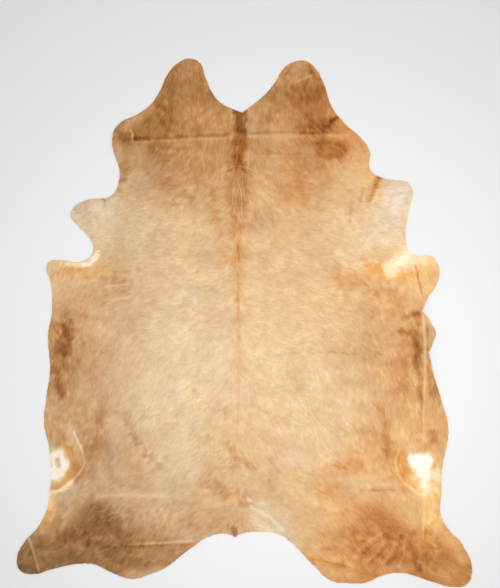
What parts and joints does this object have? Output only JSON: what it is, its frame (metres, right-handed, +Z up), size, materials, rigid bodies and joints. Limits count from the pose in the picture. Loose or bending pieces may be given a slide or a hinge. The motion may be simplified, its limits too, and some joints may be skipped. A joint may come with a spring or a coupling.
{
  "type": "leather hide, hair-on cowhide floor rug",
  "caption": "Whole hair-on leather hide lying flat, with neck lobes, leg flaps, a wavy cut edge and soft creases.",
  "frame": {"origin": "middle of the hide's box, on the surface that it lies on", "axes": "+Y runs from the tail to the neck along the spine, +X to the right seen from above, +Z up out of the hair"},
  "size_m": [2.22, 2.58, 0.02],
  "materials": {
    "hide": "short sleek hair lying flat, tan to caramel with pale and white patches, on soft suede-backed leather"
  },
  "bodies": {
    "root": {"hide": "hide"}
  },
  "joints": []
}
